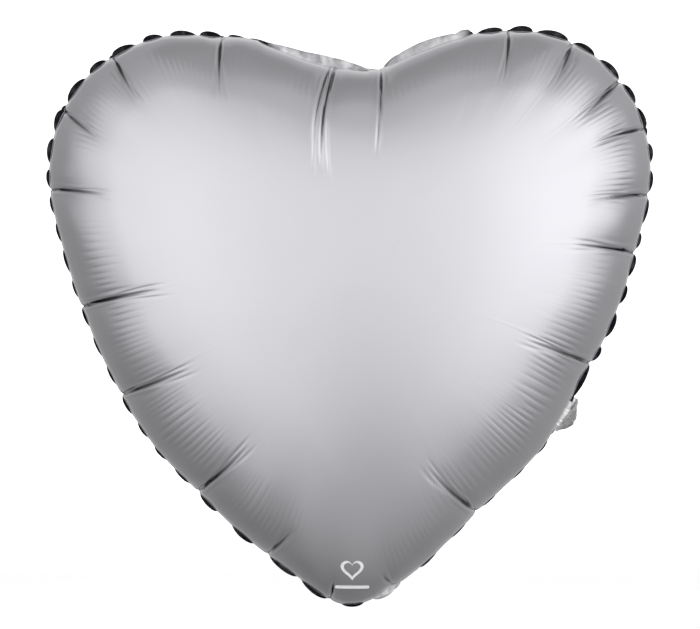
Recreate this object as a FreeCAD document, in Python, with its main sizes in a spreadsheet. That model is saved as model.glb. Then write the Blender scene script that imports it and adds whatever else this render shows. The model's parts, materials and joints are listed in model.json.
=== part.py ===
"""Heart-shaped foil balloon: two film panels welded at the rim, a folding tail and a flap valve.

Millimetres. X runs to the viewer's right, Z up with the two lobes at the top, and the front
panel bulges towards -Y. The seam lies in the plane Y = 0, and the origin is the centre of the
balloon's overall box. Film is drawn thicker than it is, so that it holds as a solid.
"""
import FreeCAD, Part
import math
import os
import Sketcher

V = FreeCAD.Vector
doc = FreeCAD.newDocument("FoilBalloon")

# ---- driving sizes ------------------------------------------------------------------------
SIZES = {
    # the heart's cut edge, as eight arcs that run into each other
    "overall_width": 430,
    "overall_height": 410,
    "lobe_right": 102,
    "lobe_left": 98,
    "lobe_left_drop": 6,        # how much lower the left lobe stands
    "turn_right": 100.5,        # bearing from a lobe's centre to where its shoulder starts
    "turn_left": 89,
    "side_round": 435,
    "tip_round": 47,
    "cleft_round": 12,
    "cleft_offset": 17,         # the cleft sits this far right of the middle
    "cleft_depth": 32,
    # the two panels
    "crown_height": 75,         # from the seam to the crown of one panel
    "crown_place": 20,          # height of the crown above the box's centre
    "crown_ease": 90,           # how fast the cleft opens out towards the crown
    "film": 0.5,
    "seal_width": 7,            # the flat welded margin outside the crowned part
    # the tail
    "tail_bearing": 32.8,       # degrees below level, seen from the front
    "tail_fold": 78,            # degrees back from the plane of the seam
    "tail_width": 27,
    "tail_length": 42,
    "tail_corner": 13,
    "fold_gap": 1,              # from the fold line to the film on either side of it
    "tie_hole_radius": 2.5,
    "tie_hole_inset": 7,        # hole's centre to the tail's free end
    # the flap valve
    "leaf": 0.2,
    "leaf_width": 20,
    "leaf_side_play": 0.5,
    "leaf_play": 0.05,
    "tail_leaf_length": 24,
    "throat_length": 14,
    "lip_length": 60,
    "lip_gap": 0.3,
    "lip_parting": 0.03,        # from the seam's plane to the face of one lip
}
sheet = doc.addObject("Spreadsheet::Sheet", "Sizes")
for row, (alias, size) in enumerate(SIZES.items(), start=1):
    sheet.set(f"A{row}", alias.replace("_", " "))
    sheet.set(f"B{row}", str(size))
    sheet.setAlias(f"B{row}", alias)
doc.recompute()

# ---- where the tail leaves the rim --------------------------------------------------------
# The right side arc touches the tip arc and the right lobe arc from outside. Its centre is
# where two circles about the centres of those arcs meet.
layout = doc.addObject("App::VarSet", "Layout")


def derive(name, expression):
    """Add one worked-out number, which follows the sheet."""
    layout.addProperty("App::PropertyFloat", name, "Layout")
    layout.setExpression(name, expression)
    doc.recompute()


derive("tip_z", "Sizes.tip_round - Sizes.overall_height / 2")
derive("span_x", "Sizes.overall_width / 2 - Sizes.lobe_right")
derive("span_z", "Sizes.overall_height / 2 - Sizes.lobe_right - tip_z")
derive("span", "sqrt(span_x ^ 2 + span_z ^ 2)")
derive("to_lobe", "Sizes.side_round - Sizes.lobe_right")
derive("to_tip", "Sizes.side_round - Sizes.tip_round")
derive("along", "(to_tip ^ 2 - to_lobe ^ 2 + span ^ 2) / (2 * span)")
derive("across", "sqrt(to_tip ^ 2 - along ^ 2)")
derive("side_x", "(along * span_x - across * span_z) / span")
derive("side_z", "tip_z + (along * span_z + across * span_x) / span")
derive("fold_x", "side_x + (Sizes.side_round + Sizes.fold_gap) * cos(Sizes.tail_bearing)")
derive("fold_z", "side_z - (Sizes.side_round + Sizes.fold_gap) * sin(Sizes.tail_bearing)")

# Two frames on the fold line: X points out of the balloon, Y to the back, Z along the fold.
# The first lies in the seam's plane, the second is folded back with the tail.
SEAM_FRAME = "vector(Layout.fold_x; 0; Layout.fold_z); rotation(vector(0; 1; 0); Sizes.tail_bearing)"
IN_SEAM = f"placement({SEAM_FRAME})"
FOLDED = f"placement({SEAM_FRAME} * rotation(vector(0; 0; 1); Sizes.tail_fold))"


# ---- shared helpers -----------------------------------------------------------------------
def plane(body, role):
    """The body's own origin plane with that role."""
    return next(f for f in body.Origin.OriginFeatures if f.Role == role)


def new_sketch(body, name, offset="0"):
    """A sketch on the body's XZ plane, moved towards -Y by offset. Its axes are X and Z."""
    sketch = body.newObject("Sketcher::SketchObject", name)
    sketch.AttachmentSupport = [(plane(body, "XZ_Plane"), "")]
    sketch.MapMode = "FlatFace"
    sketch.setExpression("AttachmentOffset.Base.z", offset)
    return sketch


def bind(sketch, kind, where, expression, name):
    """Add a dimension whose value is an expression on the sheet."""
    value = float(sheet.evalExpression(expression))
    index = sketch.addConstraint(Sketcher.Constraint(kind, *where, value))
    sketch.renameConstraint(index, name)
    sketch.setExpression(f"Constraints.{name}", expression)


def meet(centre_a, radius_a, centre_b, radius_b, turn):
    """Where two circles cross: turn is +1 for the crossing left of a to b, -1 for the right."""
    step = centre_b - centre_a
    span = step.Length
    along = (radius_a ** 2 - radius_b ** 2 + span ** 2) / (2 * span)
    across = math.sqrt(radius_a ** 2 - along ** 2)
    return centre_a + step * (along / span) + V(-step.y, step.x, 0) * (turn * across / span)


# ---- the heart outline --------------------------------------------------------------------
def heart(body, name, inset, level, height):
    """One closed heart of eight tangent arcs.

    inset is how far it lies inside the cut edge. level is its angle up the crown: at 0 it is
    the full outline, and towards 90 it shrinks with the cosine to the crown's centre while
    its cleft fills in. height is how far the sketch stands off the seam.
    """
    share = f"cos({level})"
    half_width = "Sizes.overall_width / 2"
    half_height = "(Sizes.overall_height / 2 - Sizes.crown_place)"
    depth = "(Sizes.overall_height / 2 + Sizes.crown_place)"
    notch = f"Sizes.cleft_depth * {share} ^ 2"
    radius = {
        "tip": f"(Sizes.tip_round - {inset}) * {share}",
        "side_right": f"(Sizes.side_round - {inset}) * {share}",
        "lobe_right": f"(Sizes.lobe_right - {inset}) * {share}",
        "cleft": f"(Sizes.cleft_round + {inset} + Sizes.crown_ease * (1 - {share})) * {share}",
        "lobe_left": f"(Sizes.lobe_left - {inset}) * {share}",
        "side_left": f"(Sizes.side_round - {inset}) * {share}",
    }
    place = {
        "tip": ("0", f"Sizes.crown_place + (Sizes.tip_round - {depth}) * {share}"),
        "lobe_right": (f"({half_width} - Sizes.lobe_right) * {share}",
                       f"Sizes.crown_place + ({half_height} - Sizes.lobe_right) * {share}"),
        "lobe_left": (f"(Sizes.lobe_left - {half_width}) * {share}",
                      f"Sizes.crown_place + ({half_height} - Sizes.lobe_left"
                      f" - Sizes.lobe_left_drop * {share} ^ 2) * {share}"),
        "cleft": (f"Sizes.cleft_offset * {share}",
                  f"Sizes.crown_place + ({half_height} - {notch} - {inset}) * {share}"
                  f" + {radius['cleft']}"),
    }
    shoulder_bearing = {hand: f"(90 + (Sizes.turn_{hand} - 90) * {share} ^ 2)"
                        for hand in ("right", "left")}
    size = {arc: float(sheet.evalExpression(text)) for arc, text in radius.items()}
    centre = {arc: V(*(float(sheet.evalExpression(text)) for text in texts))
              for arc, texts in place.items()}
    for hand, turn in (("right", 1), ("left", -1)):
        lobe, side, shoulder = (f"{part}_{hand}" for part in ("lobe", "side", "shoulder"))
        centre[side] = meet(centre["tip"], size[side] - size["tip"],
                            centre[lobe], size[side] - size[lobe], turn)
        # the shoulder leaves the lobe at its bearing and just touches the cleft's circle
        angle = math.radians(float(sheet.evalExpression(shoulder_bearing[hand])))
        outward = V(math.cos(angle), math.sin(angle), 0)
        start = centre[lobe] + outward * size[lobe]
        reach = start - centre["cleft"]
        size[shoulder] = ((reach.Length ** 2 - size["cleft"] ** 2)
                          / (2 * (reach.dot(outward) + size["cleft"])))
        centre[shoulder] = start - outward * size[shoulder]

    def bearing(start, end):
        """Direction from one arc's centre to another's, in radians."""
        step = centre[end] - centre[start]
        return math.atan2(step.y, step.x)

    # the joints between neighbouring arcs lie on the line through their centres
    joints = {
        "tip": (bearing("side_left", "tip"), bearing("side_right", "tip")),
        "side_right": (bearing("side_right", "tip"), bearing("side_right", "lobe_right")),
        "lobe_right": (bearing("side_right", "lobe_right"), bearing("shoulder_right", "lobe_right")),
        "shoulder_right": (bearing("shoulder_right", "lobe_right"), bearing("shoulder_right", "cleft")),
        "cleft": (bearing("cleft", "shoulder_left"), bearing("cleft", "shoulder_right")),
        "shoulder_left": (bearing("shoulder_left", "cleft"), bearing("shoulder_left", "lobe_left")),
        "lobe_left": (bearing("shoulder_left", "lobe_left"), bearing("side_left", "lobe_left")),
        "side_left": (bearing("side_left", "lobe_left"), bearing("side_left", "tip")),
    }
    sketch = new_sketch(body, name, height)
    order = list(joints)
    for arc in order:
        circle = Part.Circle(centre[arc], V(0, 0, 1), size[arc])
        start, end = joints[arc]
        if end <= start:
            end += 2 * math.pi
        sketch.addGeometry(Part.ArcOfCircle(circle, start, end))
    # walking round anticlockwise, the hollow cleft arc is the only one met end first
    head = {arc: 2 if arc == "cleft" else 1 for arc in order}
    for here, after in zip(order, order[1:] + order[:1]):
        sketch.addConstraint(Sketcher.Constraint(
            "Tangent", order.index(here), 3 - head[here], order.index(after), head[after]))
    for arc, text in radius.items():
        bind(sketch, "Radius", (order.index(arc),), text, f"{arc}_radius")
    for arc, (across, up) in place.items():
        bind(sketch, "DistanceX", (order.index(arc), 3), across, f"{arc}_x")
        bind(sketch, "DistanceY", (order.index(arc), 3), up, f"{arc}_z")
    for hand, end in (("right", 2), ("left", 1)):
        lobe = f"lobe_{hand}"
        bind(sketch, "DistanceX", (order.index(lobe), end),
             f"{place[lobe][0]} + {radius[lobe]} * cos({shoulder_bearing[hand]})",
             f"shoulder_{hand}_start")
    return sketch


# ---- the two panels -----------------------------------------------------------------------
# Each panel is one sheet of film: a crowned middle and a flat margin welded to the other's.
LEVELS = (0, 10, 24, 42, 62, 78, 87)    # degrees up the crown at which a heart is drawn


def crown(body, kind, name, inset, height):
    """A loft through hearts that rise and shrink along a quarter ellipse."""
    rises = [f"({height}) * sin({level}) / sin({LEVELS[-1]})" for level in LEVELS]
    hearts = [heart(body, f"{name}_{level}", inset, level, rise)
              for level, rise in zip(LEVELS, rises)]
    doc.recompute()
    loft = body.newObject(kind, name)
    loft.Profile = hearts[0]
    loft.Sections = hearts[1:]
    doc.recompute()
    return loft


form = doc.addObject("PartDesign::Body", "PanelForm")
crown(form, "PartDesign::AdditiveLoft", "outer", "Sizes.seal_width", "Sizes.crown_height")
margin = form.newObject("PartDesign::Pad", "margin")
margin.Profile = heart(form, "cut_edge", "0", 0, "0")
margin.setExpression("Length", "Sizes.film")
doc.recompute()
crown(form, "PartDesign::SubtractiveLoft", "inner", "(Sizes.seal_width + Sizes.film)",
      "Sizes.crown_height - Sizes.film")

# the throat: a shallow channel across the margin, where the valve passes through the weld
channel = doc.addObject("Part::Box", "ThroatChannel")
channel.setExpression("Length", "2 * Sizes.throat_length")
channel.setExpression("Height", "Sizes.leaf_width + 2 * Sizes.leaf_side_play")
channel.setExpression("Width", "2 * (Sizes.leaf + Sizes.leaf_play)")
channel.setExpression(
    "Placement", f"{IN_SEAM} * placement(vector(-Length; -Width / 2; -Height / 2); rotation(0; 0; 0))")

front_panel = doc.addObject("Part::Cut", "FrontPanel")
front_panel.Base = form
front_panel.Tool = channel
front_panel.Label = "front_panel"

back_panel = doc.addObject("Part::Mirroring", "BackPanel")
back_panel.Source = front_panel
back_panel.Normal = V(0, 1, 0)
back_panel.Label = "back_panel"
doc.recompute()


# ---- flat strips of film ------------------------------------------------------------------
def strip(sketch, start, length, width):
    """A rectangle from start along X, centred on Z. Its edges: lower, far, upper, near."""
    x0 = float(sheet.evalExpression(start))
    x1 = x0 + float(sheet.evalExpression(length))
    half = float(sheet.evalExpression(width)) / 2
    corners = [V(x0, -half, 0), V(x1, -half, 0), V(x1, half, 0), V(x0, half, 0)]
    for here, after in zip(corners, corners[1:] + corners[:1]):
        sketch.addGeometry(Part.LineSegment(here, after))
    for line in range(4):
        sketch.addConstraint(Sketcher.Constraint("Coincident", line, 2, (line + 1) % 4, 1))
    for line in (0, 2):
        sketch.addConstraint(Sketcher.Constraint("Horizontal", line))
    sketch.addConstraint(Sketcher.Constraint("Vertical", 1))
    sketch.addConstraint(Sketcher.Constraint("Symmetric", 3, 1, 3, 2, -1))
    bind(sketch, "DistanceX", (3, 2), start, "start")
    bind(sketch, "DistanceX", (0, 1, 0, 2), length, "length")
    bind(sketch, "DistanceY", (1, 1, 1, 2), width, "width")


def thicken(body, sketch, kind, depth, towards_front):
    """Pad or Pocket a sketch on the XZ plane by depth, to the front (-Y) or the back (+Y)."""
    feature = body.newObject(kind, f"{sketch.Name}_{kind.split('::')[1].lower()}")
    feature.Profile = sketch
    feature.setExpression("Length", depth)
    # a pad runs along the plane's normal, which is -Y, and a pocket runs against it
    feature.Reversed = towards_front == (kind == "PartDesign::Pocket")
    return feature


def sub_part(label, placement):
    """A body with its node's name and a place that follows the sheet."""
    body = doc.addObject("PartDesign::Body", label)
    body.Label = label
    body.setExpression("Placement", placement)
    return body


# ---- the tail -----------------------------------------------------------------------------
# Each panel's film runs on past the rim as one ply of the tail. The plies are welded along
# their long edges, with the valve between them, and the tie hole goes through both.
TAIL_END = "(Sizes.fold_gap + Sizes.tail_length)"


def tail_ply(side):
    """One ply of the tail, with the shallow bed that its valve leaf lies in."""
    front = side == "front"
    body = sub_part(f"tail_{side}_ply", FOLDED)
    outline = new_sketch(body, f"{side}_ply_outline")
    strip(outline, "Sizes.fold_gap", "Sizes.tail_length", "Sizes.tail_width")
    pad = thicken(body, outline, "PartDesign::Pad", "Sizes.film", front)
    doc.recompute()
    box = pad.Shape.BoundBox
    ends = [f"Edge{i}" for i, edge in enumerate(pad.Shape.Edges, start=1)
            if edge.BoundBox.XMin > (box.XMin + box.XMax) / 2
            and edge.BoundBox.YLength > box.YLength / 2]
    corners = body.newObject("PartDesign::Fillet", f"{side}_ply_corners")
    corners.Base = (pad, ends)
    corners.setExpression("Radius", "Sizes.tail_corner")
    doc.recompute()
    bed = new_sketch(body, f"{side}_ply_bed")
    strip(bed, "0", "Sizes.fold_gap + Sizes.tail_leaf_length + Sizes.leaf_side_play",
          "Sizes.leaf_width + 2 * Sizes.leaf_side_play")
    thicken(body, bed, "PartDesign::Pocket", "Sizes.leaf + Sizes.leaf_play", front)
    hole = new_sketch(body, f"{side}_ply_hole")
    hole_place = f"{TAIL_END} - Sizes.tie_hole_inset"
    hole.addGeometry(Part.Circle(
        V(float(sheet.evalExpression(hole_place)), 0, 0), V(0, 0, 1), SIZES["tie_hole_radius"]))
    hole.addConstraint(Sketcher.Constraint("PointOnObject", 0, 3, -1))
    bind(hole, "DistanceX", (0, 3), hole_place, "place")
    bind(hole, "Radius", (0,), "Sizes.tie_hole_radius", "size")
    thicken(body, hole, "PartDesign::Pocket", "2 * Sizes.film", front)
    doc.recompute()
    return body


# ---- the valve ----------------------------------------------------------------------------
# Two thin leaves lie face to face from the tail, through the weld, into the balloon. Each is
# one strip of film, and is divided here at its two folds: the tail's fold and the lip's root.
def leaf(label, side, placement, start, length, parting):
    """A flat leaf on the front or back of the seam's plane, parting off it."""
    body = sub_part(label, placement)
    sign = 1 if side == "front" else -1
    outline = new_sketch(body, f"{label}_outline", f"{sign} * {parting}")
    strip(outline, start, length, "Sizes.leaf_width")
    thicken(body, outline, "PartDesign::Pad", "Sizes.leaf", side == "front")
    doc.recompute()
    return body


parts = [front_panel, back_panel]
for side in ("front", "back"):
    parts.append(tail_ply(side))
    parts.append(leaf(f"valve_tail_{side}", side, FOLDED,
                      "Sizes.fold_gap", "Sizes.tail_leaf_length", "0"))
    parts.append(leaf(f"valve_throat_{side}", side, IN_SEAM,
                      "-Sizes.throat_length", "Sizes.throat_length - Sizes.fold_gap", "0"))
    parts.append(leaf(f"valve_lip_{side}", side, IN_SEAM,
                      "-(Sizes.throat_length + Sizes.lip_gap + Sizes.lip_length)",
                      "Sizes.lip_length", "Sizes.lip_parting"))

# ---- checks and files ---------------------------------------------------------------------
doc.recompute()
for obj in doc.Objects:
    if "Invalid" in obj.State or "Error" in obj.State:
        raise RuntimeError(f"{obj.Label} failed: {obj.State}")
for part in parts:
    if part.Shape.isNull() or not part.Shape.isValid():
        raise RuntimeError(f"{part.Label} has no valid shape")
    if len(part.Shape.Solids) != 1:
        raise RuntimeError(f"{part.Label} is {len(part.Shape.Solids)} solids, not one")

# each ply is its rounded strip, less its bed and its hole
film, bed_depth = SIZES["film"], SIZES["leaf"] + SIZES["leaf_play"]
corner_loss = (2 - math.pi / 2) * SIZES["tail_corner"] ** 2
bed_area = (SIZES["tail_leaf_length"] + SIZES["leaf_side_play"]) * (
    SIZES["leaf_width"] + 2 * SIZES["leaf_side_play"])
ply_volume = ((SIZES["tail_length"] * SIZES["tail_width"] - corner_loss
               - math.pi * SIZES["tie_hole_radius"] ** 2) * film - bed_area * bed_depth)
for part in parts:
    if part.Label.endswith("_ply") and abs(part.Shape.Volume - ply_volume) > 0.01 * ply_volume:
        raise RuntimeError(f"{part.Label} measures {part.Shape.Volume:.1f}, not {ply_volume:.1f}")

os.makedirs("parts", exist_ok=True)
for part in parts:
    part.Shape.exportStep(f"parts/{part.Label}.step")
    box = part.Shape.BoundBox
    print(f"{part.Label:20s} volume {part.Shape.Volume:9.1f}  "
          f"x {box.XMin:7.1f} {box.XMax:7.1f}  y {box.YMin:6.1f} {box.YMax:6.1f}  "
          f"z {box.ZMin:7.1f} {box.ZMax:7.1f}")
print(f"fold line at x {layout.fold_x:.3f}, z {layout.fold_z:.3f}")
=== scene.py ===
"""Looks of a heart-shaped foil balloon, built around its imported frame.

Two heart-cut sheets of satin metallised film are welded flat round the rim and blown up
through a tail at the lower right. As the sheets crown, their rim has to shorten, so it gathers:
deep pleats divide it into gores, and fine ripples run inwards from it.
"""
import json
import math
import bpy
import numpy as np
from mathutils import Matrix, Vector


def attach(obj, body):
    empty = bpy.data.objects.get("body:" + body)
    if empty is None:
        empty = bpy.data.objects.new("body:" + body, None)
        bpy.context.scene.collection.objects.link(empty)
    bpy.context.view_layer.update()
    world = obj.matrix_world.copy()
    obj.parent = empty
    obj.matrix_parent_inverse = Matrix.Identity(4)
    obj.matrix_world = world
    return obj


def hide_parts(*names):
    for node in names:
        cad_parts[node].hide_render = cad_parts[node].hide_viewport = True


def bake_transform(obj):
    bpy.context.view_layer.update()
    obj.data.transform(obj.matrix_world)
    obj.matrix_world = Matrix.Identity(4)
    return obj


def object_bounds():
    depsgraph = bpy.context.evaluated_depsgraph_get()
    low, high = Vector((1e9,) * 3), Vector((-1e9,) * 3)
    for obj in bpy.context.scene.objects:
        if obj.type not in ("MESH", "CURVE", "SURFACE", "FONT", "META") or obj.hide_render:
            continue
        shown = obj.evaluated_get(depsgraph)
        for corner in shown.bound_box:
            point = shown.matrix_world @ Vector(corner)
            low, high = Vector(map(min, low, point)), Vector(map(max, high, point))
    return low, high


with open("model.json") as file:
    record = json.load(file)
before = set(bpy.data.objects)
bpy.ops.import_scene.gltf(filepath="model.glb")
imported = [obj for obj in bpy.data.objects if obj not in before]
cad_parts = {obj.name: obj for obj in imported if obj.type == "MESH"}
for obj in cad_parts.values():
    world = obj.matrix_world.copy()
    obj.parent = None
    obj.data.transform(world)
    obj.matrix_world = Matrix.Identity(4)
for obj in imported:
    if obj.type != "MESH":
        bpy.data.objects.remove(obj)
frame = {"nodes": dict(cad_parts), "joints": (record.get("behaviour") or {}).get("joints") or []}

cad_low, cad_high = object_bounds()
MM = 0.001

# ==== the two films =========================================================================
# Each film is one sheet of satin silver metallised nylon, cut to the heart. The cut edge is
# read off the front panel's flat margin as a radius for each bearing about the crown, and
# everything near the rim is placed by its bearing, or by its run along the edge.
CROWN = np.array([0.0, 20 * MM])         # the crown's place in X and Z
PANEL_MARGIN = 7 * MM                    # width of the panel's welded margin
RIM_POINTS = 3600                        # even bearings that the edge is held at
TURN = np.linspace(0, 2 * np.pi, RIM_POINTS, endpoint=False)


def closed_blur(values, width):
    """Blur a closed row of values with a Gaussian whose sigma is a share of the whole turn."""
    waves = np.fft.rfftfreq(len(values), 1 / len(values))
    fade = np.exp(-2 * (np.pi * waves * width) ** 2)
    return np.fft.irfft(np.fft.rfft(values) * fade, len(values))


def turn_from(bearing, centre):
    """Signed angle from one bearing to another, the short way round."""
    return (bearing - centre + np.pi) % (2 * np.pi) - np.pi


def read_cut_edge(node):
    """Radius of the heart's edge at each bearing of TURN.

    A vertex of the margin is on the edge if no vertex within two degrees stands further out
    by more than half the margin. The edge runs straight from one such vertex to the next.
    """
    mesh = frame["nodes"][node].data
    place = np.empty(len(mesh.vertices) * 3)
    mesh.vertices.foreach_get("co", place)
    place = place.reshape(-1, 3)
    flat = place[np.abs(place[:, 1]) < 0.6 * MM][:, [0, 2]] - CROWN
    bearing = np.arctan2(flat[:, 1], flat[:, 0])
    radius = np.hypot(flat[:, 0], flat[:, 1])
    near = np.abs(turn_from(bearing[:, None], bearing[None, :])) < math.radians(2)
    outermost = np.where(near, radius[None, :], 0).max(axis=1)
    on_edge = radius > outermost - PANEL_MARGIN / 2
    order = np.argsort(bearing[on_edge])
    return np.interp(TURN, bearing[on_edge][order], radius[on_edge][order], period=2 * np.pi)


def around(bearing, values):
    """Look up a closed row of values, held at TURN, at any bearing."""
    return np.interp(bearing, TURN, values, period=2 * np.pi)


def by_bearing(table, bearing):
    """Straight runs between the (degrees, value) entries of a table, round the whole turn."""
    table = np.array(table, float)
    return np.interp(bearing, np.radians(table[:, 0]), table[:, 1], period=2 * np.pi)


def ease(low, high, value):
    """0 below low, 1 above high, and a smooth S between them."""
    share = np.clip((value - low) / (high - low), 0, 1)
    return share * share * (3 - 2 * share)


def rim_noise(seed, pitch):
    """A closed smooth random row round the rim, about -1 to 1, that varies over a pitch."""
    values = closed_blur(np.random.default_rng(seed).normal(0, 1, RIM_POINTS), pitch / GIRTH)
    return values / values.std() / 1.6


# The full balloon's outline leaves the heart's cut a little: bearing, and mm in or out.
DRAWN = [(0, 0.4), (10, -1.6), (20, -1.8), (30, -1.1), (40, -0.6), (50, -0.8), (60, -2.8),
         (66, -2.0), (74, -0.4), (84, -0.6), (92, -1.0), (96, -2.0), (101, -3.2), (107, -2.4),
         (112, -1.2), (120, 1.0), (135, -0.2), (150, -0.2), (160, -1.6), (170, -1.8),
         (180, -1.2), (190, -0.2), (200, 0.7), (210, 2.5), (220, 2.2), (230, -0.5), (240, -0.7),
         (250, -1.5), (260, -2.3), (268, 0.4), (280, 0.6), (290, -3.8), (300, -5.2), (310, -2.3),
         (320, 0.9), (330, 0.0), (340, -0.8), (350, 1.4)]
EDGE = closed_blur(read_cut_edge("front_panel") + by_bearing(DRAWN, TURN) * MM, 0.0012)
edge_x, edge_z = EDGE * np.cos(TURN), EDGE * np.sin(TURN)
edge_step = np.hypot(np.roll(edge_x, -1) - edge_x, np.roll(edge_z, -1) - edge_z)
EDGE_RUN = np.concatenate([[0], np.cumsum(edge_step)[:-1]])      # length along the edge
GIRTH = edge_step.sum()

# The pleats: bearing at the rim and at the inner end in degrees, length across the face,
# depth, and half width of the valley in mm, and 1 if it forks. The film has set into them
# unevenly, so each is given by itself. The two at the cleft are straight and narrow, and the
# left one has a second line beside it.
PLEATS = np.array([
    (6.7, 10.2, 44, 3.2, 0.85, 1), (17.1, 19.3, 42, 3.0, 0.85, 1),
    (28.2, 30.4, 36, 2.8, 0.85, 1), (37.3, 35.8, 42, 3.2, 0.85, 1),
    (47.5, 44.6, 32, 2.6, 0.85, 1), (58.1, 53.4, 36, 2.6, 0.85, 1),
    (82.0, 78.4, 64, 3.4, 0.55, 0), (93.8, 104.0, 76, 3.2, 0.70, 1),
    (94.9, 105.2, 62, 2.0, 0.50, 0), (117.2, 124.0, 42, 2.8, 0.85, 1),
    (135.9, 138.6, 34, 2.6, 0.85, 1), (148.6, 149.9, 32, 2.6, 0.85, 1),
    (162.1, 159.6, 42, 2.8, 0.85, 1), (184.3, 181.4, 58, 3.4, 0.85, 1),
    (205.4, 207.6, 52, 3.2, 0.85, 1), (233.5, 237.6, 48, 3.2, 0.85, 1),
    (252.9, 257.0, 28, 2.4, 0.85, 1), (266.4, 267.1, 16, 2.0, 0.85, 0),
    (278.3, 276.0, 14, 2.0, 0.85, 0), (299.2, 293.0, 48, 3.2, 0.85, 1),
    (342.2, 342.6, 48, 2.6, 0.75, 1)])
PLEAT_RIM, PLEAT_INNER = np.radians(PLEATS[:, 0]), np.radians(PLEATS[:, 1])
PLEAT_LENGTH, PLEAT_DEPTH, PLEAT_HALF = (PLEATS[:, 2:5] * MM).T
PLEAT_FORKS = PLEATS[:, 5]
AT_CLEFT = np.abs(PLEATS[:, 0] - 90) < 10
PLEAT_RUN = around(PLEAT_RIM, EDGE_RUN)

# The welded margin stands out past the swollen film in scallops: bearing and width in
# degrees, and how far each shows in mm. Between two scallops it is drawn in behind the film.
SCALLOPS = np.array([
    (4.2, 4.6, 3.6), (8.9, 3.0, 2.7), (14.2, 4.4, 2.6), (19.2, 3.6, 2.8), (24.0, 3.2, 3.3),
    (29.4, 5.0, 3.6), (34.6, 4.0, 3.6), (39.8, 4.8, 4.2), (45.4, 4.2, 3.8), (51.0, 5.4, 4.8),
    (56.4, 4.2, 5.0), (61.2, 4.2, 4.6), (65.6, 3.2, 3.4), (80.0, 3.0, 0.8), (84.0, 3.0, 0.8),
    (110.5, 3.0, 0.9), (114.5, 3.0, 1.6), (118.8, 4.2, 5.0), (123.6, 4.2, 4.4), (128.6, 3.4, 4.2),
    (134.2, 5.0, 4.6), (139.0, 3.6, 4.0), (144.4, 5.0, 4.3), (149.9, 4.8, 4.3), (155.6, 4.2, 3.9),
    (160.4, 3.2, 2.6), (164.8, 3.0, 2.0), (169.6, 3.4, 2.1), (175.0, 4.4, 2.1), (180.6, 3.6, 1.6),
    (186.6, 4.4, 2.2), (193.5, 4.6, 1.5), (200.5, 4.6, 1.7), (208.0, 4.8, 2.1), (214.8, 4.0, 1.9),
    (221.4, 4.0, 1.7), (228.5, 4.6, 1.8), (236.8, 5.4, 3.0), (246.6, 5.6, 3.1), (256.5, 6.2, 3.4),
    (263.2, 5.2, 3.6), (270.5, 4.0, 1.8), (277.0, 5.4, 5.0), (286.0, 4.0, 1.2), (294.0, 4.0, 1.0),
    (303.0, 4.0, 1.0), (312.0, 4.0, 0.9), (320.0, 4.0, 1.0), (326.6, 6.0, 2.0), (331.4, 5.6, 2.4),
    (337.6, 8.8, 4.0), (344.6, 3.8, 3.2), (351.4, 5.6, 4.0), (358.2, 4.0, 3.0)])
away = np.degrees(turn_from(TURN[:, None], np.radians(SCALLOPS[:, 0])))
scallop = (np.clip(1 - (2 * away / SCALLOPS[:, 1]) ** 2, 0, 1) ** 0.65).max(axis=1)
shows = closed_blur(by_bearing(SCALLOPS[:, [0, 2]], TURN), 0.002) * MM

# At the cleft there is more margin than the fold can take in, so it stands up in two flaps:
# bearing and width in degrees, and how far each reaches in and out in mm.
FLAPS = np.array([(73.0, 16.5, 3.6, 4.5), (97.5, 26.0, 6.6, 0.4)])
away = np.degrees(turn_from(TURN[:, None], np.radians(FLAPS[:, 0])))
flap = (np.clip(1 - (2 * away / FLAPS[:, 1]) ** 2, 0, 1) ** 0.6)[:, None, :] * FLAPS[:, 2:].T
flap_in, flap_out = flap.max(axis=2).T * MM

# each pleat draws a small notch into the rim, but for those under the flaps
away = (EDGE_RUN[:, None] - PLEAT_RUN + GIRTH / 2) % GIRTH - GIRTH / 2
notch = (0.5 * PLEAT_DEPTH * ~AT_CLEFT * np.exp(-np.abs(away) / (1.5 * MM))).sum(axis=1)

# The weld's outline, and a calm copy of its inner line for the film to follow further in.
OUTER = EDGE - 0.85 * shows * (1 - scallop) - notch + flap_out
SEAM = np.minimum(EDGE - shows * (0.78 + 0.22 * scallop), OUTER - 0.25 * MM)
SEAM = SEAM - flap_in - 0.5 * notch
SEAM_BLUR = 0.012                        # all blurs of the outline are shares of a turn
CALM_SEAM = closed_blur(SEAM, SEAM_BLUR)

# The seam weaves to front and back, but lies flat where the tail leaves it.
tail_fold = next(joint for joint in frame["joints"] if joint["name"] == "tail_fold")
FOLD = np.array(tail_fold["pos_m"])
FOLD_AXIS = np.array(tail_fold["axis"])
TAIL_OUT = np.cross([0, 1, 0], FOLD_AXIS)
tail_run = around(math.atan2(FOLD[2] - CROWN[1], FOLD[0] - CROWN[0]), EDGE_RUN)
from_tail = np.abs((EDGE_RUN - tail_run + GIRTH / 2) % GIRTH - GIRTH / 2)
LOOSE = ease(15 * MM, 28 * MM, from_tail)
WEAVE = rim_noise(17, 7 * MM) * MM * LOOSE
RUFFLE = (rim_noise(91, 4 * MM) + rim_noise(92, 1.6 * MM) * 0.35) * MM * LOOSE
MARGIN_HALF = (0.26 + 0.16 * (1 - LOOSE)) * MM                   # half the margin's thickness

CROWN_HEIGHT = cad_high[1]
COLUMNS = 1780                           # of the film's mesh, even along the edge
# how far in mm the film runs in square to the rim, by bearing; short at the tip, where the
# columns of both sides would cross
LEAD = [(0, 80), (40, 80), (62, 70), (82, 60), (100, 70), (140, 80), (200, 75), (240, 55),
        (255, 36), (262, 22), (266, 13), (270, 9), (274, 13), (278, 22), (285, 36), (300, 55),
        (330, 75)]
CALM_EDGE = closed_blur(EDGE, 0.045)     # the outline as the film feels it halfway in
FAR_EDGE = closed_blur(EDGE, 0.10)       # and near the crown
RIPPLE_PITCH = 5.0 * MM
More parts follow.
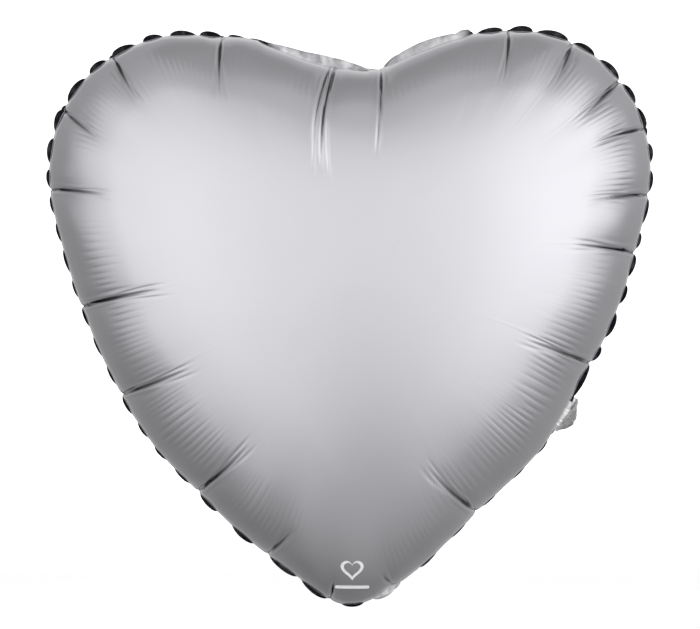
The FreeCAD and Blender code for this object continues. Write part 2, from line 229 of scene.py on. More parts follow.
# strength of the ripples, and the height in mm of the shoulder inside them, round the rim
RIPPLING = [(0, 1.0), (12, 0.7), (30, 0.7), (45, 0.8), (60, 0.3), (80, 0.35), (100, 0.45),
            (115, 0.35), (135, 0.45), (160, 0.45), (178, 0.6), (188, 1.1), (240, 1.2),
            (255, 0.7), (270, 0.35), (288, 0.4), (302, 0.9), (335, 1.3), (347, 1.1)]
SHOULDER = [(0, 0.8), (60, 0.8), (75, 0.5), (105, 0.5), (115, 0.8), (200, 0.8), (225, 0.5),
            (255, 0.1), (285, 0.1), (310, 0.5), (340, 0.8)]


def film_columns():
    """Bearings of the film's columns: even along the edge, with eleven more at each pleat."""
    runs = [np.arange(COLUMNS) * GIRTH / COLUMNS]
    runs += [run + np.linspace(-2.2, 2.2, 11) * MM for run in PLEAT_RUN]
    runs = np.unique(np.round(np.concatenate(runs) % GIRTH, 6))
    return np.interp(runs, EDGE_RUN, TURN, period=GIRTH)


def film_rows():
    """Shares of the way from seam to crown: close at the rim and wide at the middle."""
    return np.concatenate([0.16 * np.linspace(0, 1, 14)[:-1] ** 1.5,
                           np.linspace(0.16, 0.62, 22)[:-1], np.linspace(0.62, 0.985, 8)])


def closed_lead(bearing):
    """The table LEAD without its corners, at any bearing."""
    return around(bearing, closed_blur(by_bearing(LEAD, TURN), 0.008)) * MM


def crowned_plan(bearing, rows):
    """Where each column lies in X and Z, and its inset: the length it has run from the seam.

    Each column is a quadratic curve from the seam to the crown, by way of a point LEAD in
    along the inward normal of the blurred edge, so it leaves the rim square to it.
    """
    ray = np.stack([np.cos(bearing), np.sin(bearing)], axis=-1)
    rim = CROWN + around(bearing, SEAM)[:, None] * ray
    slope_x = np.gradient(closed_blur(edge_x, SEAM_BLUR))
    slope_z = np.gradient(closed_blur(edge_z, SEAM_BLUR))
    inward = np.stack([-around(bearing, slope_z), around(bearing, slope_x)], axis=-1)
    inward /= np.linalg.norm(inward, axis=-1, keepdims=True)
    share = rows[:, None, None]
    lead = inward * closed_lead(bearing)[:, None]
    plan = ((1 - share) ** 2 * rim + 2 * share * (1 - share) * (rim + lead)
            + share ** 2 * CROWN)
    steps = np.linalg.norm(np.diff(plan, axis=0), axis=-1)
    inset = np.concatenate([np.zeros((1, len(bearing))), np.cumsum(steps, axis=0)])
    return plan, inset


def swollen_height(reach, at):
    """Height over the seam's plane: CROWN_HEIGHT times the root of 1 - v to a power.

    v is the share of the way out from the crown to an outline that is the seam itself at the
    rim, calms down within 6 mm of it and rounds off inwards. Three rounds settle v and the
    outline that depends on it. The power is 2 at the crown and 2.3 from v = 0.6 outwards.
    """
    sharp, calm = around(at, SEAM), around(at, CALM_SEAM)
    halfway, far = around(at, CALM_EDGE), around(at, FAR_EDGE)
    to_seam = np.maximum(sharp - reach, 0)
    seam = calm + (sharp - calm) * np.exp(-to_seam / (6 * MM))
    v = np.clip(reach / seam, 0, 1)
    for _ in range(3):
        keep, near = v ** 5, ease(0.1, 0.95, v)
        inner = far + (halfway - far) * near
        v = np.clip(reach / (keep * seam + (1 - keep) * inner), 0, 1)
    v[0] = 1
    return CROWN_HEIGHT * np.sqrt(1 - v ** (2 + 0.3 * ease(0, 0.6, v)))


def pleat_push(reach, at, inset, lengths):
    """How far the pleats move the film along its normal, and the painted shade that darkens the
    film's colour down each valley.

    A pleat is a sharp valley, exponential across it, between two soft shoulders and inside a
    wide dip. It deepens over the first 7 mm and dies away by its inner end, where two finer
    valleys fork from it.
    """
    push, painted_shade = np.zeros_like(inset), np.zeros_like(inset)
    for rim_at, inner_at, length, depth, half, forks in zip(
            PLEAT_RIM, PLEAT_INNER, lengths, PLEAT_DEPTH, PLEAT_HALF, PLEAT_FORKS):
        done = inset / length
        aside = reach * turn_from(at, rim_at + turn_from(inner_at, rim_at) * done)
        left = np.clip(1 - done, 0, 1) * (0.25 + 0.75 * ease(0, 7 * MM, inset))
        push -= 0.90 * depth * np.exp(-np.abs(aside) / half) * left ** 0.75
        push -= 0.40 * depth * np.exp(-(aside / (6 * MM)) ** 2) * left ** 1.3
        push += 0.22 * depth * np.exp(-((np.abs(aside) - 2.6 * MM) / (1.2 * MM)) ** 2) * left
        alive = ease(0.30, 0.60, done) * (1 - ease(0.80, 1.15, done)) * forks
        for hand in (-1, 1):
            fork = aside - hand * (0.9 * MM + 0.055 * inset)
            push -= 0.15 * depth * np.exp(-(fork / (0.9 * MM)) ** 2) * alive
        # painted shade: a dark line down each valley, for the shade that falls in it; thinner at
        # the rim, widest from 8 mm in, narrowing and fading out towards the inner end
        width = half * (0.6 + 0.6 * ease(2 * MM, 8 * MM, inset))
        width = width * (1 - 0.6 * ease(0.3, 0.8, done))
        dark = (0.5 + 0.5 * ease(2 * MM, 6 * MM, inset)) * (1 - ease(0.50, 0.95, done))
        painted_shade = np.maximum(painted_shade, dark * np.exp(-(aside / width) ** 2))
    return push, painted_shade


def gore_swell(bearing, inset):
    """How far a gore, the film between two pleats, stands out: 4 s (1 - s), to a power.

    s goes from 0 to 1 across the gore. The power goes from a half at the rim to 2 at 22 mm in,
    which smooths away the line between two gores, and all but nothing is left 60 mm in.
    """
    before = (np.searchsorted(PLEAT_RIM, bearing) - 1) % len(PLEAT_RIM)
    width = (np.roll(PLEAT_RIM, -1)[before] - PLEAT_RIM[before]) % (2 * np.pi)
    share = ((bearing - PLEAT_RIM[before]) % (2 * np.pi)) / width
    swell = np.clip(4 * share * (1 - share), 0, 1) ** (0.5 + 1.5 * ease(6 * MM, 22 * MM, inset))
    return 1.8 * MM * swell * np.exp(-(inset / (34 * MM)) ** 2) * ease(0, 4 * MM, inset)


def shoulder_push(bearing, inset, seed):
    """A low rounded ridge, up to 0.8 mm high, where the gathered rim meets the tight middle.

    Its height falls off exponentially over 18 mm on both sides of its crest, 39 to 45 mm in.
    """
    crest = (42 + 3 * around(bearing, rim_noise(seed + 6, 16 * MM))) * MM
    away = np.sqrt((inset - crest) ** 2 + (3 * MM) ** 2)
    return MM * by_bearing(SHOULDER, bearing) * np.exp(-away / (18 * MM)) * ease(0, 12 * MM, inset)


def ripple_push(bearing, run, inset, seed):
    """Fine ripples square to the rim, that start 12 to 18 mm in and die by 36 to 50 mm in.

    They are a wave along the edge with its second harmonic, so the valleys are narrower than
    the crests. They are strongest near a pleat, and at their start each valley is a short dash.
    """
    nearest = np.abs((run[:, None] - PLEAT_RUN + GIRTH / 2) % GIRTH - GIRTH / 2).min(axis=1)
    strength = by_bearing(RIPPLING, bearing) * (1 + 0.9 * np.exp(-(nearest / (12 * MM)) ** 2))
    strength = strength * (0.55 + 0.45 * around(bearing, rim_noise(seed + 3, 14 * MM)))
    phase = 2 * np.pi * run / RIPPLE_PITCH + 2.6 * around(bearing, rim_noise(seed + 1, 8 * MM))
    phase = phase + 1.6 * around(bearing, rim_noise(seed + 2, 5 * MM)) * inset / (40 * MM)
    start = (15 + 3 * around(bearing, rim_noise(seed + 4, 5 * MM))) * MM
    end = (43 + 7 * around(bearing, rim_noise(seed + 5, 3 * MM))) * MM
    wave = np.cos(phase) - 0.35 * np.cos(2 * phase)
    alive = ease(start, start + 5 * MM, inset) * (1 - ease(0.55 * end, end, inset))
    dash = ease(start - 2 * MM, start + 2 * MM, inset)
    dash = dash * (1 - ease(start + 4 * MM, start + 12 * MM, inset))
    return MM * strength * wave * (0.12 * alive + 0.13 * dash)


def skin(name, points, closed=True, crown=None):
    """A smooth mesh over a grid of points (rows, columns, 3), one quad to each cell.

    With closed the last column joins the first. With crown, a point, the last row is
    closed by a fan of triangles to it. Faces point so that columns x rows is outwards.
    """
    rows, columns = points.shape[:2]
    index = np.arange(rows * columns).reshape(rows, columns)
    after = np.roll(index, -1, axis=1)
    if not closed:
        index, after = index[:, :-1], after[:, :-1]
    faces = np.stack([index[:-1], after[:-1], after[1:], index[1:]], axis=-1)
    faces = faces.reshape(-1, 4).tolist()
    places = points.reshape(-1, 3)
    if crown is not None:
        fan = np.stack([index[-1], after[-1], np.full(index.shape[1], rows * columns)], axis=-1)
        faces += fan.tolist()
        places = np.concatenate([places, [crown]])
    mesh = bpy.data.meshes.new(name)
    mesh.from_pydata(places.tolist(), [], faces)
    mesh.shade_smooth()
    piece = bpy.data.objects.new(name, mesh)
    bpy.context.scene.collection.objects.link(piece)
    return piece


def tell(piece, name, values):
    """Store a vector at each vertex under a name, for the material to read."""
    layer = piece.data.attributes.new(name, "FLOAT_VECTOR", "POINT")
    layer.data.foreach_set("vector", np.ascontiguousarray(values, dtype=np.float32).ravel())


class Value:
    """A shader's number, with the arithmetic that the finishes use."""

    def __init__(self, tree, out):
        self.tree, self.out = tree, out

    def math(self, operation, *values):
        """A Math node's output, from values and numbers in the order of its sockets."""
        return Finish(self.tree).node("ShaderNodeMath", {"operation": operation},
                                      dict(enumerate(values)))

    def __add__(self, other): return self.math("ADD", self, other)
    def __radd__(self, other): return self.math("ADD", other, self)
    def __sub__(self, other): return self.math("SUBTRACT", self, other)
    def __rsub__(self, other): return self.math("SUBTRACT", other, self)
    def __mul__(self, other): return self.math("MULTIPLY", self, other)
    def __rmul__(self, other): return self.math("MULTIPLY", other, self)
    def __pow__(self, other): return self.math("POWER", self, other)
    def at_least(self, other): return self.math("MAXIMUM", self, other)
    def at_most(self, other): return self.math("MINIMUM", self, other)


class Finish:
    """Adds nodes to one node tree."""

    def __init__(self, tree):
        self.tree = tree

    def node(self, kind, settings=None, sockets=None, out=0):
        """A node of a kind: its settings are set first, then its sockets; gives one output."""
        node = self.tree.nodes.new(kind)
        for key, setting in (settings or {}).items():
            setattr(node, key, setting)
        for key, value in (sockets or {}).items():
            if isinstance(value, Value):
                self.tree.links.new(value.out, node.inputs[key])
            else:
                node.inputs[key].default_value = value
        return Value(self.tree, node.outputs[out])

    def parts(self, vector):
        """The three numbers of a vector."""
        split = self.node("ShaderNodeSeparateXYZ", None, {"Vector": vector})
        return [Value(self.tree, out) for out in split.out.node.outputs]

    def blend(self, factor, first, second):
        """A colour between two, by a factor from 0 to 1."""
        return self.node("ShaderNodeMix", {"data_type": "RGBA"},
                         {0: factor, 6: first, 7: second}, out=2)

    def surface(self, sockets):
        """A Principled shader with these sockets, as the tree's surface."""
        shader = self.node("ShaderNodeBsdfPrincipled", None, sockets)
        self.node_out({"Surface": shader})

    def node_out(self, sockets, kind="ShaderNodeOutputMaterial"):
        """The tree's output, fed from these sockets."""
        out = self.tree.nodes.new(kind)
        for key, value in sockets.items():
            self.tree.links.new(value.out, out.inputs[key])


def new_finish(name):
    """An empty material and the Finish that fills it."""
    material = bpy.data.materials.new(name)
    material.use_nodes = True
    material.node_tree.nodes.clear()
    return material, Finish(material.node_tree)


def satin_film():
    """Satin silver film, finely streaked across the rim, with painted shade darkening it down the
    pleats.

    The streaks are gone 100 mm in. Its margin is painted a glossy near-black, a painted dark
    reflection with painted grey glints, except where 'weld' says it is left bright silver.
    """
    material, make = new_finish("satin_film")
    lie, weld = (make.node("ShaderNodeAttribute", {"attribute_name": name}, out="Vector")
                 for name in ("lie", "weld"))
    run, inset, painted_shade = make.parts(lie)
    margin, bright, _ = make.parts(weld)
    place = make.node("ShaderNodeTexCoord", out="Object")
    cloud = make.node("ShaderNodeTexNoise", None, {"Vector": place, "Scale": 11.0, "Detail": 3.0})
    streak_place = make.node("ShaderNodeCombineXYZ", None, {"X": run * 900.0, "Y": inset * 35.0})
    streak = make.node("ShaderNodeTexNoise", None, {
        "Vector": streak_place, "Scale": 1.0, "Detail": 3.0})
    crinkle = make.node("ShaderNodeTexNoise", None, {
        "Vector": place, "Scale": 220.0, "Detail": 2.0})
    silver = make.blend(cloud, (0.822, 0.814, 0.852, 1), (0.772, 0.764, 0.806, 1))
    # painted shade: the silver is darkened towards near-black down each pleat's valley
    silver = make.blend(painted_shade * 0.88, silver, (0.07, 0.07, 0.075, 1))
    # painted dark reflection: the flat margin is coloured near-black for the dark room it mirrors,
    # with painted grey glints where the crinkle noise peaks
    painted_dark_reflection = make.blend(crinkle ** 4.0 * 2.0, (0.006, 0.006, 0.008, 1), (0.10, 0.10, 0.11, 1))
    # painted shade: where the margin is bright, its silver is darkened towards grey in random
    # patches, for the shaded facets of its crinkles
    patch = make.node("ShaderNodeTexNoise", None, {"Vector": place, "Scale": 75.0, "Detail": 2.0})
    patchy_shaded_silver = make.blend((patch - 0.35) * 3.0, (0.40, 0.40, 0.42, 1), (0.80, 0.80, 0.82, 1))
    # the margin's colour: the painted near-black reflection, or silver where 'weld' says it is
    # bright
    margin_dark_paint_and_silver = make.blend(bright, painted_dark_reflection, patchy_shaded_silver)
    streak_bump = make.node("ShaderNodeBump", {}, {
        "Height": streak * (1.0 - margin) * (1.0 - inset * 10.0).at_least(0.0),
        "Strength": 0.35, "Distance": 0.0002})
    bump = make.node("ShaderNodeBump", {}, {
        "Height": crinkle * margin, "Strength": 0.4, "Distance": 0.0008, "Normal": streak_bump})
    make.surface({
        "Base Color": make.blend(margin, silver, margin_dark_paint_and_silver), "Metallic": 1.0,
        "Roughness": 0.20 + cloud * 0.05 - margin * 0.07, "Normal": bump})
    return material


# the margin is left bright silver, not painted near-black, on the two flaps, beside the tail and at
# the right of the tip
BRIGHT = [(0, 0), (64.5, 0), (66, 1), (107.5, 1), (109, 0), (272.5, 0), (274, 1), (280, 1),
          (282, 0), (324, 0), (325, 1), (328, 0.9), (330, 0.35), (333, 0)]
# rows of the margin: share of the way from its edge to the seam, and share of its half thickness
MARGIN_ROWS = [(0.0, 0.0), (0.10, 1.0), (0.5, 1.0), (0.92, 1.0)]
satin_finish = satin_film()
column_at = film_columns()
column_run = around(column_at, EDGE_RUN)
row_share = film_rows()
film_points = {}
for name, node, side, seed in (("front_film", "front_panel", -1, 40),
                               ("back_film", "back_panel", 1, 60)):
    plan, inset = crowned_plan(column_at, row_share)
    offset = plan - CROWN
    reach, at = np.linalg.norm(offset, axis=-1), np.arctan2(offset[..., 1], offset[..., 0])
    rim_y = around(column_at, WEAVE) + side * around(column_at, MARGIN_HALF)
    lift = side * swollen_height(reach, at) + rim_y * np.exp(-inset / (12 * MM))
    dome = np.stack([plan[..., 0], lift, plan[..., 1]], axis=-1)

    across = np.roll(dome, -1, axis=1) - np.roll(dome, 1, axis=1)
    normal = side * np.cross(np.gradient(dome, axis=0), across)
    normal /= np.linalg.norm(normal, axis=-1, keepdims=True) + 1e-12
    lengths = PLEAT_LENGTH
    if side > 0:                         # the back's pleats start at the same places
        lengths = lengths * np.random.default_rng(seed).uniform(0.75, 1.2, len(PLEATS))
    # pleat_push also gives the painted shade down the pleats' valleys
    push, painted_shade = pleat_push(reach, at, inset, lengths)
    push += gore_swell(column_at, inset) + ripple_push(column_at, column_run, inset, seed)
    push += shoulder_push(column_at, inset, seed)
    dome = dome + normal * (push * ease(0, 1.5 * MM, inset))[..., None]

    outer, seam = around(column_at, OUTER), around(column_at, SEAM)
    ruffle, half = around(column_at, RUFFLE), around(column_at, MARGIN_HALF)
    weave = around(column_at, WEAVE)
    margin = []
    for share, thick in MARGIN_ROWS:
        radius = outer + (seam - outer) * share
        margin.append(np.stack([
            CROWN[0] + radius * np.cos(column_at),
            weave + ruffle * (1 - share) + side * half * thick,
            CROWN[1] + radius * np.sin(column_at)], axis=-1))
    points = np.concatenate([np.array(margin), dome])
    film_points[name] = points[:, ::-1] if side > 0 else points
    piece = skin(name, film_points[name], crown=[CROWN[0], side * CROWN_HEIGHT, CROWN[1]])

    rows = len(MARGIN_ROWS)
    # 'lie' holds each point's run along the edge, its inset, and the painted shade of the pleats
    lie = np.stack([np.broadcast_to(column_run, points.shape[:2]),
                    np.concatenate([np.zeros((rows, len(column_at))), inset]),
                    np.concatenate([np.zeros((rows, len(column_at))), painted_shade])], axis=-1)
    weld = np.zeros_like(lie)
    # the margin rows take the painted near-black reflection, save where BRIGHT leaves them silver
    weld[:rows, :, 0] = 1
    weld[:rows + 1, :, 1] = by_bearing(BRIGHT, column_at)
    if side > 0:
        lie, weld = lie[:, ::-1], weld[:, ::-1]
    tell(piece, "lie", np.concatenate([lie.reshape(-1, 3), [[0, 0.2, 0]]]))
    tell(piece, "weld", np.concatenate([weld.reshape(-1, 3), [[0, 0, 0]]]))
    piece.data.materials.append(satin_finish)
    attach(piece, "envelope")
    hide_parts(node)

# ==== the printed mark ======================================================================
# A small generic heart outline over a short bar, printed in white near the tip of the front
# film. The ink is a thin skin that follows the film just in front of it.
INK_FRONT, INK_BACK = 0.26 * MM, 0.14 * MM               # its two faces, off the film
HEART_AT, HEART_WIDTH = np.array([1.5 * MM, -177.0 * MM]), 16 * MM
HOLLOW_AT, HOLLOW_WIDTH = HEART_AT + [0, 0.3 * MM], 11.5 * MM
BAR_AT, BAR_LENGTH, BAR_WIDTH = np.array([1.5 * MM, -190.0 * MM]), 24 * MM, 2.2 * MM
BAR_END = 0.64                           # how much of t each end of the bar takes up
front_places = film_points["front_film"].reshape(-1, 3)
near_tip = (np.abs(front_places[:, 0]) < 30 * MM) & (front_places[:, 2] < -150 * MM)
NEAR_TIP = front_places[near_tip]


def on_film(x, z, off):
    """Points in front of the film by off.

    The film's depth at (x, z) is a plane fitted to the points near it, by least squares, with
    weights that fall off as a Gaussian of 1.2 mm.
    """
    aside = np.stack([NEAR_TIP[:, 0] - x[:, None], NEAR_TIP[:, 2] - z[:, None]], axis=-1)
    weight = np.exp(-(aside ** 2).sum(axis=-1) / (2 * (1.2 * MM) ** 2)) + 1e-12
    basis = np.concatenate([np.ones(aside.shape[:2] + (1,)), aside / MM], axis=-1)
    square = np.einsum("pk,pki,pkj->pij", weight, basis, basis)
    right = np.einsum("pk,pki,k->pi", weight, basis, NEAR_TIP[:, 1])
    depth, slope_x, slope_z = np.linalg.solve(square, right[..., None])[..., 0].T
    steep = np.sqrt(1 + (slope_x ** 2 + slope_z ** 2) / MM ** 2)
    return np.stack([x, depth - off * steep, z], axis=-1)


def band(outer, inner):
    """A closed thin band of ink between two outlines, each a row of (x, z)."""
    across = [outer + (inner - outer) * share for share in (0, 0.25, 0.5, 0.75, 1)]
    front = [on_film(*line.T, INK_FRONT) for line in across]
    back = [on_film(*line.T, INK_BACK) for line in across[::-1]]
    return np.array(front + back + front[:1])


def heart(width, middle, points=160):
    """A heart outline: x = 16 sin^3 t, z = 13 cos t - 5 cos 2t - 2 cos 3t - cos 4t, scaled."""
    t = np.linspace(0, 2 * np.pi, points, endpoint=False)
    x = 16 * np.sin(t) ** 3
    z = 13 * np.cos(t) - 5 * np.cos(2 * t) - 2 * np.cos(3 * t) - np.cos(4 * t)
    return np.stack([x, z], axis=-1) * width / 32 + middle


def capsule(length, width, middle, points=160):
    """A bar with round ends, t from -pi to pi round it.

    Within BAR_END of an end, in angle, a point goes round that end's half circle. From there
    on it goes along the straight side, as the cosine of t.
    """
    t = np.linspace(-np.pi, np.pi, points, endpoint=False)
    from_end = np.minimum(np.abs(t), np.pi - np.abs(t))
    turned = np.clip(from_end / BAR_END, 0, 1) * np.pi / 2
    straight = (length - width) / 2 * np.minimum(np.abs(np.cos(t)) / math.cos(BAR_END), 1)
    x = np.sign(np.cos(t)) * (straight + width / 2 * np.cos(turned))
    return np.stack([x, np.sign(np.sin(t)) * width / 2 * np.sin(turned)], axis=-1) + middle


def white_ink():
    """White print, a little uneven."""
    material, make = new_finish("white_ink")
    place = make.node("ShaderNodeTexCoord", out="Object")
    uneven = make.node("ShaderNodeTexNoise", None, {"Vector": place, "Scale": 260.0, "Detail": 2.0})
    make.surface({"Base Color": make.blend(uneven, (0.90, 0.90, 0.90, 1), (0.97, 0.97, 0.97, 1)),
                  "Roughness": 0.45 + uneven * 0.1})
    return material


ink_finish = white_ink()
for name, outer, inner in (
        ("print_heart", heart(HEART_WIDTH, HEART_AT), heart(HOLLOW_WIDTH, HOLLOW_AT)),
        ("print_bar", capsule(BAR_LENGTH, BAR_WIDTH, BAR_AT),
         capsule(BAR_LENGTH - 2 * MM, 0.01 * MM, BAR_AT))):
    ink = skin(name, band(outer, inner))
    ink.data.materials.append(ink_finish)
    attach(ink, "envelope")

# ==== the inflation tail ====================================================================
# Both films run on into a flat tail, 27 mm wide, folded back behind the rim. Its two plies
# are welded down the sides and open at the end, and a tie hole is punched through them.
TAIL_HALF_WIDTH, TAIL_LENGTH, TAIL_CORNER = 13.5 * MM, 42 * MM, 13 * MM
TAIL_ROOT = 4 * MM                       # how far it reaches in under the margin
HOLE_RADIUS, HOLE_INSET = 2.5 * MM, 7 * MM
TAIL_FOLDED = math.radians(78)
BEND_RADIUS = 1.6 * MM
CRUMPLED = 1.4 * MM                      # height of the crumpled facets
# the facets' triangle waves: weight, slant in radians, pitch in mm and phase
FACETS = [(0.7, 0.5, 19, 0.2), (0.45, -0.9, 13, 0.45), (0.2, 1.3, 6, 0.1)]


def tail_outline(turns):
    """The tail's outline seen flat, at angles about the tie hole: a rectangle with round ends.

    A ray from the hole meets the nearest of the two sides, the end and the root. Past a round
    corner's centre it meets the corner's circle instead, by the quadratic formula.
    """
    ray = np.stack([np.cos(turns), np.sin(turns)], axis=-1)      # across and outwards
    to_side = TAIL_HALF_WIDTH / np.maximum(np.abs(ray[:, 0]), 1e-9)
    to_end = np.where(ray[:, 1] > 0, HOLE_INSET, TAIL_LENGTH - HOLE_INSET + TAIL_ROOT)
    reach = np.minimum(to_side, to_end / np.maximum(np.abs(ray[:, 1]), 1e-9))
    hit = ray * reach[:, None]
    middle = np.stack([np.sign(hit[:, 0]) * (TAIL_HALF_WIDTH - TAIL_CORNER),
                       np.full(len(turns), HOLE_INSET - TAIL_CORNER)], axis=-1)
    in_corner = (hit[:, 1] > middle[:, 1]) & (np.abs(hit[:, 0]) > np.abs(middle[:, 0]))
    along = (ray * middle).sum(axis=-1)
    root = np.sqrt(np.maximum(along ** 2 - (middle ** 2).sum(axis=-1) + TAIL_CORNER ** 2, 0))
    return np.where(in_corner, along + root, reach)[:, None] * ray


def crumple(across, out):
    """How far the crumpled tail stands off its own flat plane.

    Triangle waves set at three slants give it folded facets, and its sides are cupped towards
    the back by the square of the way across. Both grow from nothing at the fold.
    """
    folds = np.zeros_like(across)
    for weight, slant, pitch, phase in FACETS:
        wave = (across * math.cos(slant) + out * math.sin(slant)) / (pitch * MM) + phase
        folds += weight * (4 * np.abs(wave - np.floor(wave + 0.5)) - 1)
    cupped = 0.8 * MM + 4.2 * MM * (across / TAIL_HALF_WIDTH) ** 2
    return (CRUMPLED * folds + cupped) * ease(2 * MM, 20 * MM, out)


def around_fold(across, out, off):
    """Carry a flat tail point round the fold.

    across runs along the fold, out away from it, and off is the distance towards the back.
    The path is straight, turns through a right circular bend of BEND_RADIUS, and is straight
    again; the two straights, carried on, meet at the fold line.
    """
    tangent = BEND_RADIUS * math.tan(TAIL_FOLDED / 2)
    arc = BEND_RADIUS * TAIL_FOLDED
    turned = np.clip((out + tangent) / arc, 0, 1) * TAIL_FOLDED
    before = np.minimum(out, -tangent)
    after = np.maximum(out + tangent - arc, 0)
    x = before + BEND_RADIUS * np.sin(turned) + after * np.cos(turned) - off * np.sin(turned)
    y = BEND_RADIUS * (1 - np.cos(turned)) + after * np.sin(turned) + off * np.cos(turned)
    return (FOLD + across[..., None] * FOLD_AXIS + x[..., None] * TAIL_OUT
            + y[..., None] * np.array([0, 1.0, 0]))


def tail_sleeve():
    """The tail as one closed skin: front ply, outer edge, back ply, and the wall of the hole.

    A ply is a grid of rays from the tie hole to the outline. The outer edge has a row between
    the plies that is drawn in along the open end, which makes the mouth. The thickness is a
    lens across the tail, and the plies meet at the welded sides.
    """
    turns = np.linspace(0, 2 * np.pi, 360, endpoint=False)
    hole = HOLE_RADIUS * np.stack([np.cos(turns), np.sin(turns)], axis=-1)
    edge = tail_outline(turns)
    shares = np.linspace(0, 1, 46) ** 1.15
    ply = hole + (edge - hole) * shares[:, None, None]
    mouth = ease(-3 * MM, 3 * MM, edge[:, 1])
    mouth = mouth * ease(0, 2.5 * MM, TAIL_HALF_WIDTH - np.abs(edge[:, 0]))
    inwards = np.stack([edge[:, 0] * 0.12, np.full(len(turns), 6 * MM)], axis=-1)
    drawn_in = edge - inwards * mouth[:, None]

    def half_thickness(flat):
        lens = np.clip(1 - (flat[..., 0] / TAIL_HALF_WIDTH) ** 2, 0, 1)
        return (0.16 + 0.50 * lens * ease(-HOLE_INSET, HOLE_INSET, -flat[..., 1] + 14 * MM)) * MM

    def placed(flat, face):
        across, out = flat[..., 0], flat[..., 1] + TAIL_LENGTH - HOLE_INSET
        rise = half_thickness(flat) * face
        return around_fold(across, out, crumple(across, out) + rise)

    front, back = placed(ply, -1.0), placed(ply, 1.0)
    gap = placed(drawn_in, 0.0)[None]
    wall = (front[:1] + back[:1]) / 2
    return np.concatenate([wall, front, gap, back[::-1], wall])


def crumpled_silver():
    """The tail's film: unprinted silver with sharp little creases, and painted shade that darkens a
    facet here and there.
    """
    material, make = new_finish("crumpled_silver")
    place = make.node("ShaderNodeTexCoord", out="Object")
    crease = make.node("ShaderNodeTexVoronoi", {"feature": "DISTANCE_TO_EDGE"}, {
        "Vector": place, "Scale": 190.0})
    cloud = make.node("ShaderNodeTexNoise", None, {"Vector": place, "Scale": 90.0, "Detail": 3.0})
    painted_facet_shade = make.node("ShaderNodeTexVoronoi", {}, {"Vector": place, "Scale": 125.0}, "Color")
    bump = make.node("ShaderNodeBump", {}, {
        "Height": crease + cloud * 0.6, "Strength": 0.8, "Distance": 0.0016})
    # painted shade: random facets are darkened from white towards grey, as crumpled facets turned
    # from the light would be
    make.surface({
        "Base Color": make.blend(painted_facet_shade * painted_facet_shade, (1.0, 1.0, 1.0, 1), (0.42, 0.42, 0.45, 1)),
        "Metallic": 1.0, "Roughness": 0.20 + cloud * 0.14, "Normal": bump})
    return material


tail_finish = crumpled_silver()
tail = skin("tail_sleeve", tail_sleeve())
tail.data.materials.append(tail_finish)
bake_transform(tail)
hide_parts("tail_front_ply", "tail_back_ply")

# ==== the self-sealing valve ================================================================
# Two leaves of clear film, welded into the throat, let gas in and press shut under it. They
# run from the tail through the rim into the balloon, and the tail hides their outer part.
LEAF_HALF_WIDTH, LEAF_HALF, LEAF_OFF = 10 * MM, 0.10 * MM, 0.16 * MM
LEAF_ROOT, LEAF_END = 1.4 * MM, 25 * MM  # how far out from the fold line a leaf starts and ends


def valve_film():
    """Clear valve film with faint lengthwise drawing lines."""
    material, make = new_finish("clear_valve_film")
    place = make.node("ShaderNodeTexCoord", out="Object")
    drawn = make.node("ShaderNodeTexNoise", None, {"Vector": place, "Scale": 120.0, "Detail": 2.0})
    make.surface({
        "Base Color": make.blend(drawn, (0.80, 0.83, 0.86, 1), (0.90, 0.92, 0.94, 1)),
        "Roughness": 0.18 + drawn * 0.15, "Alpha": 0.55 + drawn * 0.1})
    return material


def tail_leaf(side):
    """One leaf in the tail: a thin slab whose middle is LEAF_OFF off the crumpled plane."""
    across = np.linspace(-1, 1, 41) * LEAF_HALF_WIDTH
    out = np.linspace(LEAF_ROOT, LEAF_END, 60)
    grid_across, grid_out = np.meshgrid(across, out)
    middle = crumple(grid_across, grid_out) + side * LEAF_OFF
    faces = [around_fold(grid_across, grid_out, middle + face * LEAF_HALF) for face in (-1, 1)]
    return np.concatenate([faces[1], faces[0][:, ::-1]], axis=1)


valve_finish = valve_film()
for name, node, side in (("valve_tail_leaf_front", "valve_tail_front", -1),
                         ("valve_tail_leaf_back", "valve_tail_back", 1)):
    loop = tail_leaf(side)
    ends = loop.mean(axis=1, keepdims=True)
    points = np.concatenate([np.repeat(ends[:1], loop.shape[1], axis=1), loop,
                             np.repeat(ends[-1:], loop.shape[1], axis=1)])
    leaf = skin(name, points)
    leaf.data.materials.append(valve_finish)
    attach(leaf, "tail")
    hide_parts(node)
for node in ("valve_throat_front", "valve_throat_back", "valve_lip_front", "valve_lip_back"):
    frame["nodes"][node].data.materials.clear()
    frame["nodes"][node].data.materials.append(valve_finish)

# ==== the floor and backdrop ================================================================
# A plain pale sweep. The balloon doesn't mirror it, so that the film shows only the soft
# light of the room.
FLOOR = cad_low[2] - 60 * MM
# the sweep's section, as metres back and up from the floor, and how far it goes to each side
SECTION, SWEEP_SIDE = [(-8, 0), (4.5, 0), (6.0, 0.15), (7.0, 1.2), (7.3, 7)], 8.0
grid = np.array([[(x, back, FLOOR + up) for x in (SWEEP_SIDE, 0.0, -SWEEP_SIDE)]
                 for back, up in SECTION])
sweep = skin("sweep", grid, closed=False)
paper, make = new_finish("pale_paper")
fibre = make.node("ShaderNodeTexNoise", None, {
    "Vector": make.node("ShaderNodeTexCoord", out="Object"), "Scale": 3.0, "Detail": 2.0})
make.surface({"Base Color": make.blend(fibre, (0.90, 0.90, 0.90, 1), (0.93, 0.93, 0.93, 1)),
              "Roughness": 0.9})
sweep.data.materials.append(paper)
sweep.visible_glossy = False

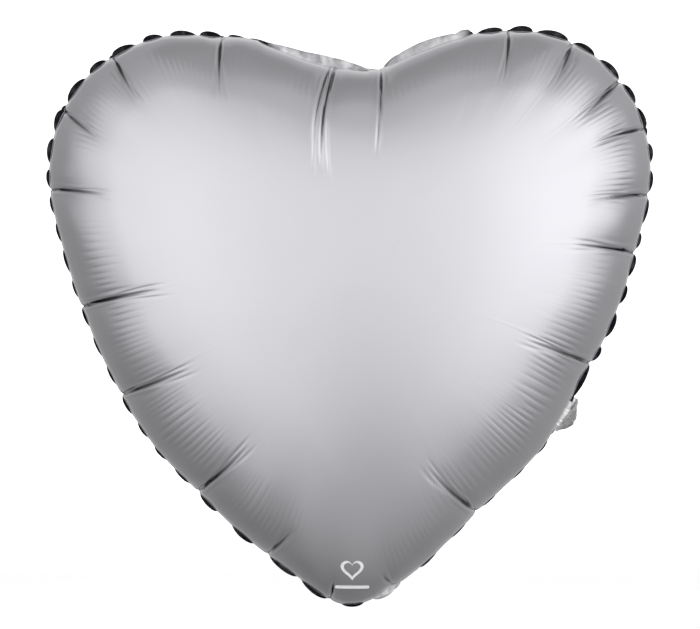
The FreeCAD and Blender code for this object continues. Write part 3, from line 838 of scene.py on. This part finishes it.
# ==== the light =============================================================================
# Two large soft panels, left and right of the camera, in a grey room: the room's brightness in
# each direction falls away round each panel's own direction. A narrow third stands behind and a
# faint fourth round the camera. The room is brighter towards the camera, the right and the
# top, up to the edge of the ceiling.
room = bpy.data.worlds.new("soft_room")
bpy.context.scene.world = room
room.use_nodes = True
room.node_tree.nodes.clear()
make = Finish(room.node_tree)
direction = make.node("ShaderNodeTexCoord", out="Generated")
toward_x, toward_y, toward_z = make.parts(direction)
toward_front = -1.0 * toward_y


def panel(azimuth, elevation, low, high, strength):
    """Light of one soft panel: a smooth S as the cosine from its direction goes low to high.

    Its direction is in degrees, round from the camera's side to the right and up.
    """
    turn, rise = math.radians(azimuth), math.radians(elevation)
    aim = (math.sin(turn) * math.cos(rise), math.cos(turn) * math.cos(rise), math.sin(rise))
    cosine = toward_x * aim[0] + toward_front * aim[1] + toward_z * aim[2]
    return make.node("ShaderNodeMapRange", {"interpolation_type": "SMOOTHSTEP"}, {
        "Value": cosine, "From Min": low, "From Max": high, "To Max": strength})


grey = (0.435 + toward_x * 0.038 + toward_front * 0.144 + toward_z * 0.098
        - toward_z * toward_z * 0.124 - toward_x * toward_x * 0.086)
ceiling = ((toward_z - 0.895) * 50.0).at_least(0.0).at_most(1.0) * 0.09
panels = (panel(-37.5, 4.8, 0.60, 1.18, 0.61) + panel(43.0, 6.9, 0.66, 1.18, 0.93)
          + panel(180, 20, 0.75, 1.05, 0.30) + panel(-6, 5, 0.80, 1.20, 0.115))
background = make.node("ShaderNodeBackground", None, {
    "Color": grey - ceiling + panels + toward_front.at_most(0.0) * -0.12})
make.node_out({"Surface": background}, "ShaderNodeOutputWorld")


def soft_light(name, place, aim, size, power):
    """A square soft light at a place, turned to an aim, that the film doesn't mirror."""
    lamp = bpy.data.lights.new(name, "AREA")
    lamp.shape, lamp.size, lamp.energy = "SQUARE", size, power   # metres and watts
    stand = bpy.data.objects.new(name, lamp)
    bpy.context.scene.collection.objects.link(stand)
    stand.location = place
    stand.rotation_euler = (Vector(aim) - Vector(place)).to_track_quat("-Z", "Y").to_euler()
    stand.visible_glossy = False


soft_light("overhead", (0.0, 0.4, 2.6), (0, 0.9, -0.3), 2.4, 60)
soft_light("backdrop", (0.0, 3.4, 3.0), (0, 7.0, 0.8), 3.0, 190)

# ==== the camera ============================================================================
# Square to the front, level with the balloon's middle. Its lens frames VIEW_WIDTH there.
CAMERA_DISTANCE, VIEW_WIDTH, SENSOR = 3.2, 0.4915, 36
camera = bpy.data.cameras.new("camera")
camera.sensor_width = SENSOR
camera.lens = SENSOR * CAMERA_DISTANCE / VIEW_WIDTH
eye = bpy.data.objects.new("camera", camera)
eye.location = (0.0, -CAMERA_DISTANCE, 0.0)
eye.rotation_euler = (math.pi / 2, 0, 0)
bpy.context.scene.collection.objects.link(eye)
bpy.context.scene.camera = eye
bpy.context.scene.view_settings.view_transform = "Standard"
